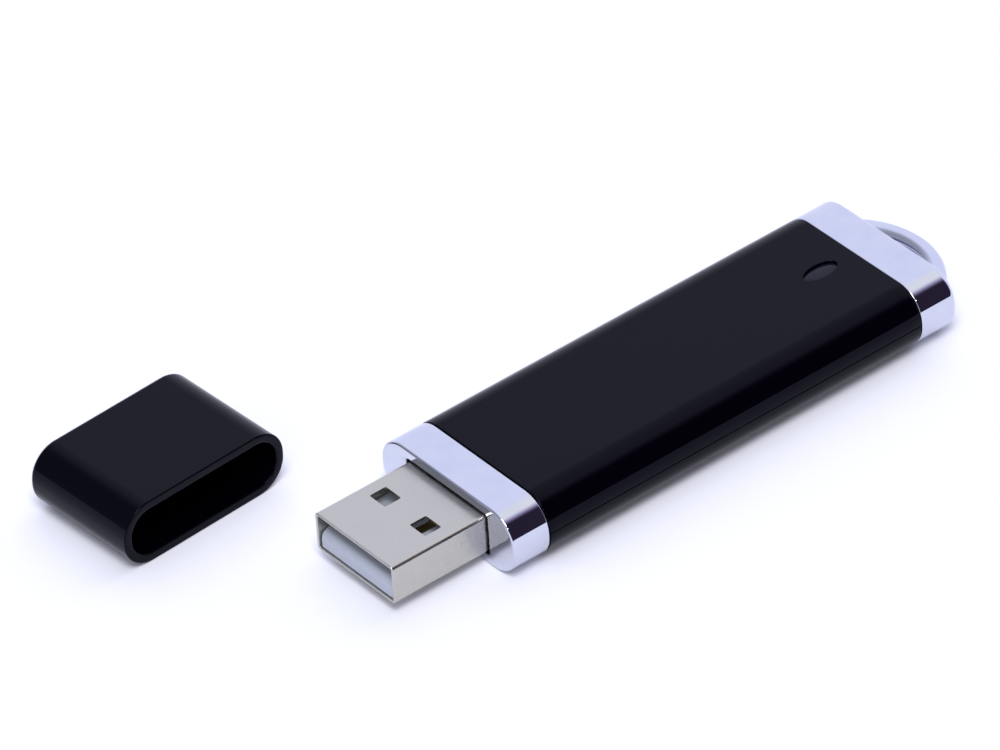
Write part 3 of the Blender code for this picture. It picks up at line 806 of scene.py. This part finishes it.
def tongue():
    """The moulded tongue in the lower half of the mouth, and the block that fills the shell behind it."""
    body = lofted("tongue", [tongue_outline(y, back) for y, back in tongue_rows()])
    rear = block(
        "rear",
        (REAR_BLOCK_X, TONGUE_LOW.y, TONGUE_LOW.z + REAR_BLOCK_LIFT),
        (TONGUE_HIGH.x - 0.1 * MM, TONGUE_HIGH.y, TONGUE_HIGH.z),
    )
    join(body, rear)
    margin = GROOVE_MARGIN
    grooves = []
    for name in CONTACTS:
        low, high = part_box(name)
        start = (low.x - margin, low.y - margin, low.z - margin)
        end = (high.x, high.y + margin, high.z + margin)
        grooves.append(block("groove", start, end))
    cut(body, *grooves)
    return body


def contact(node):
    """A flat spring strip whose front end curls down into its groove."""
    low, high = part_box(node)
    centre_y = (low.y + high.y) / 2
    half = (high.y - low.y) / 2
    rings = []
    steps = 8
    for step in range(steps + 1):
        share = step / steps
        bend = (1 - share) ** 2
        x = low.x + CONTACT_CURL_LENGTH * share
        narrow = half * (1 - CONTACT_TAPER * bend)
        rings.append(strip_section(x, centre_y, narrow, low.z, high.z - CONTACT_CURL * bend))
    rings.append(strip_section(high.x, centre_y, half, low.z, high.z))
    return lofted(node.replace("contact", "strip"), rings)


def strip_section(x, centre_y, half, z_low, z_high):
    centre, thickness = (centre_y, (z_low + z_high) / 2), z_high - z_low
    outline = rounded_outline(centre, 2 * half, thickness, min(CONTACT_EDGE, thickness / 3), steps=2)
    return [Vector((x, y, z)) for y, z in outline]


# ---------------------------------------------------------------- cap


def cap_section(x, inset):
    return section(
        x, CAP_WIDTH - 2 * inset, CAP_HEIGHT - 2 * inset, SIDE_RADIUS - inset, centre_z=CAP_HEIGHT / 2
    )


def cap_ribs(start, end):
    """Guides on both sides of the plug, and ribs above and below it in line with its windows."""
    grip = PLUG_HEIGHT / 2 + FIT_GAP
    ribs = []
    for side in (-1, 1):
        guide = sorted(side * (PLUG_WIDTH / 2 + reach) for reach in CAP_GUIDE_SIDES)
        guide_top = CAP_HEIGHT - CAP_WALL / 2
        ribs.append(block("guide", (start, guide[0], CAP_WALL / 2), (end, guide[1], guide_top)))
        near, far = side * WINDOW_SPREAD - CAP_RIB_WIDTH / 2, side * WINDOW_SPREAD + CAP_RIB_WIDTH / 2
        for face in (-1, 1):
            wall = CAP_HEIGHT / 2 + face * (CAP_HEIGHT - CAP_WALL) / 2
            heights = sorted((MID_Z + face * grip, wall))
            ribs.append(block("rib", (start, near, heights[0]), (end, far, heights[1])))
    return ribs


def cap():
    """Built along X with its mouth at +X, then turned to lie where the frame has it."""
    end_x, mouth_x = -CAP_LENGTH / 2, CAP_LENGTH / 2
    rim = quarter_round(CAP_RIM_ROUND, 5)
    stages = [(end_x + depth, inset) for depth, inset in quarter_round(CAP_END_ROUND, 10)]
    stages += [(mouth_x - depth, inset) for depth, inset in reversed(rim)]
    stages += [(mouth_x - depth, CAP_WALL - inset) for depth, inset in rim]
    stages.append((end_x + CAP_END_WALL, CAP_WALL))
    shell = lofted("cap", [cap_section(x, inset) for x, inset in stages])
    join(shell, *cap_ribs(end_x + CAP_RIB_BACK, mouth_x - CAP_RIB_SETBACK))
    place = Matrix.Translation((CAP_CENTRE.x, CAP_CENTRE.y, 0)) @ Matrix.Rotation(-CAP_TURN, 4, "Z")
    shell.data.transform(place)
    return shell


# ---------------------------------------------------------------- the pieces


def dress():
    """Models the outer pieces and contacts, and gives the parts on the board their materials."""
    finished(housing_top(), BLACK, "drive", "black_gloss", "top_shell")
    finished(housing_bottom(), BLACK, "drive", "black_gloss", "bottom_shell")
    finished(collar(), CHROME, "drive", "chrome", "front_collar")
    finished(tail(), CHROME, "drive", "chrome", "tail_cap")
    finished(lens(), SMOKY, "drive", "smoky_lens", "indicator_lens")
    finished(plug(), NICKEL, "drive", "nickel", "plug_shell")
    finished(tongue(), TONGUE, "drive", "tongue_white", "plug_insulator")
    for node in CONTACTS:
        finished(contact(node), GOLD, "drive", "contact_gold", node)
    finished(cap(), BLACK, "cap", "black_gloss", "cap_shell")
    carried = {
        "circuit_board": BOARD,
        "memory_chip": RESIN,
        "controller_chip": RESIN,
        "regulator": RESIN,
        "ferrite_bead": RESIN,
        "crystal": TIN,
        "status_light": GLOW,
        "board_spacer": GREY,
    }
    for name, node in frame["nodes"].items():
        finish = carried.get(name)
        if name.startswith("capacitor"):
            finish = CERAMIC
        elif name.startswith("resistor"):
            finish = RESIN
        if finish:
            for place in node.material_slots:
                place.material = finish


# ---------------------------------------------------------------- floor, light and camera


FLOOR_HALF_WIDTH = 3.0
FLOOR_GAP = 0.02 * MM


def studio_floor():
    bm = bmesh.new()
    bmesh.ops.create_grid(bm, x_segments=1, y_segments=1, size=FLOOR_HALF_WIDTH)
    floor = piece_from("studio_floor", bm)
    floor.location.z = -FLOOR_GAP
    finish = Finish("studio_white", (0.89, 0.90, 0.97), 0.9, Specular_IOR_Level=0.0)
    floor.data.materials.append(finish.material)


LAVENDER = (0.80, 0.82, 1.0)
PALE = (0.87, 0.875, 0.90)
PURPLE = (0.74, 0.53, 1.08)


def studio_sky():
    """A lavender surround: paler overhead, dim beyond the plug, and dark purple on the near side."""
    world = bpy.data.worlds.new("studio")
    bpy.context.scene.world = world
    world.use_nodes = True
    tree = world.node_tree
    background = tree.nodes["Background"]
    place = tree.nodes.new("ShaderNodeTexCoord").outputs["Generated"]

    def toward(direction, low, high, to_low, to_high):
        dot = tree.nodes.new("ShaderNodeVectorMath")
        dot.operation = "DOT_PRODUCT"
        dot.inputs[1].default_value = Vector(direction).normalized()
        tree.links.new(place, dot.inputs[0])
        ramp = tree.nodes.new("ShaderNodeMapRange")
        ramp.interpolation_type = "SMOOTHSTEP"
        for socket, value in zip(("From Min", "From Max", "To Min", "To Max"), (low, high, to_low, to_high)):
            ramp.inputs[socket].default_value = value
        tree.links.new(dot.outputs["Value"], ramp.inputs["Value"])
        return ramp.outputs["Result"]

    def combine(operation, one, other):
        node = tree.nodes.new("ShaderNodeMath")
        node.operation = operation
        tree.links.new(one, node.inputs[0])
        tree.links.new(other, node.inputs[1])
        return node.outputs["Value"]

    overhead = toward((0.48, -0.15, 0.87), 0.83, 0.98, 0.0, 1.0)
    near_light = toward((0.2, -0.95, 0.24), 0.43, 0.75, 1.0, 0.03)
    plug_end_light = toward((-0.75, 0.45, 0.48), 0.5, 0.85, 1.22, 0.47)
    tree.links.new(combine("MULTIPLY", plug_end_light, near_light), background.inputs["Strength"])
    upper = colour_mix(tree, overhead, LAVENDER, PALE)
    tree.links.new(colour_mix(tree, near_light, PURPLE, upper), background.inputs["Color"])


def studio_lamp(name, direction, distance, size, power):
    """A square white lamp that looks at the middle of the drive."""
    direction = Vector(direction).normalized()
    data = bpy.data.lights.new(name, "AREA")
    data.size = size
    data.energy = power
    made = bpy.data.objects.new(name, data)
    bpy.context.scene.collection.objects.link(made)
    made.location = direction * distance
    made.rotation_mode = "QUATERNION"
    made.rotation_quaternion = direction.to_track_quat("Z", "Y")


VIEW_AZIMUTH = math.radians(36.983)
VIEW_ELEVATION = math.radians(37.686)
VIEW_ROLL = math.radians(-3.997)
VIEW_DISTANCE = 867.75 * MM
VIEW_TARGET = Vector((-11.974, 12.227, 4.0)) * MM
LENS_MM = 315.55


def camera():
    """Looks down along the drive from its plug end, a long way off, tipped slightly to one side."""
    ahead = Vector((
        math.sin(VIEW_AZIMUTH) * math.cos(VIEW_ELEVATION),
        math.cos(VIEW_AZIMUTH) * math.cos(VIEW_ELEVATION),
        -math.sin(VIEW_ELEVATION),
    ))
    level = Vector((math.cos(VIEW_AZIMUTH), -math.sin(VIEW_AZIMUTH), 0))
    above = level.cross(ahead)
    right = level * math.cos(VIEW_ROLL) + above * math.sin(VIEW_ROLL)
    up = above * math.cos(VIEW_ROLL) - level * math.sin(VIEW_ROLL)
    data = bpy.data.cameras.new("camera")
    data.lens = LENS_MM
    data.sensor_width = 36.0
    made = bpy.data.objects.new("camera", data)
    bpy.context.scene.collection.objects.link(made)
    turn = Matrix((right, up, -ahead)).transposed().to_4x4()
    made.matrix_world = Matrix.Translation(VIEW_TARGET - ahead * VIEW_DISTANCE) @ turn
    bpy.context.scene.camera = made


dress()
studio_floor()
studio_sky()
studio_lamp("soft_lamp", (-0.28, -0.37, 0.88), 2.5, 1.0, 36.0)
studio_lamp("spark_lamp", (-0.477, -0.632, 0.611), 0.87, 0.03, 0.9)
camera()
bpy.context.scene.view_settings.view_transform = "Standard"
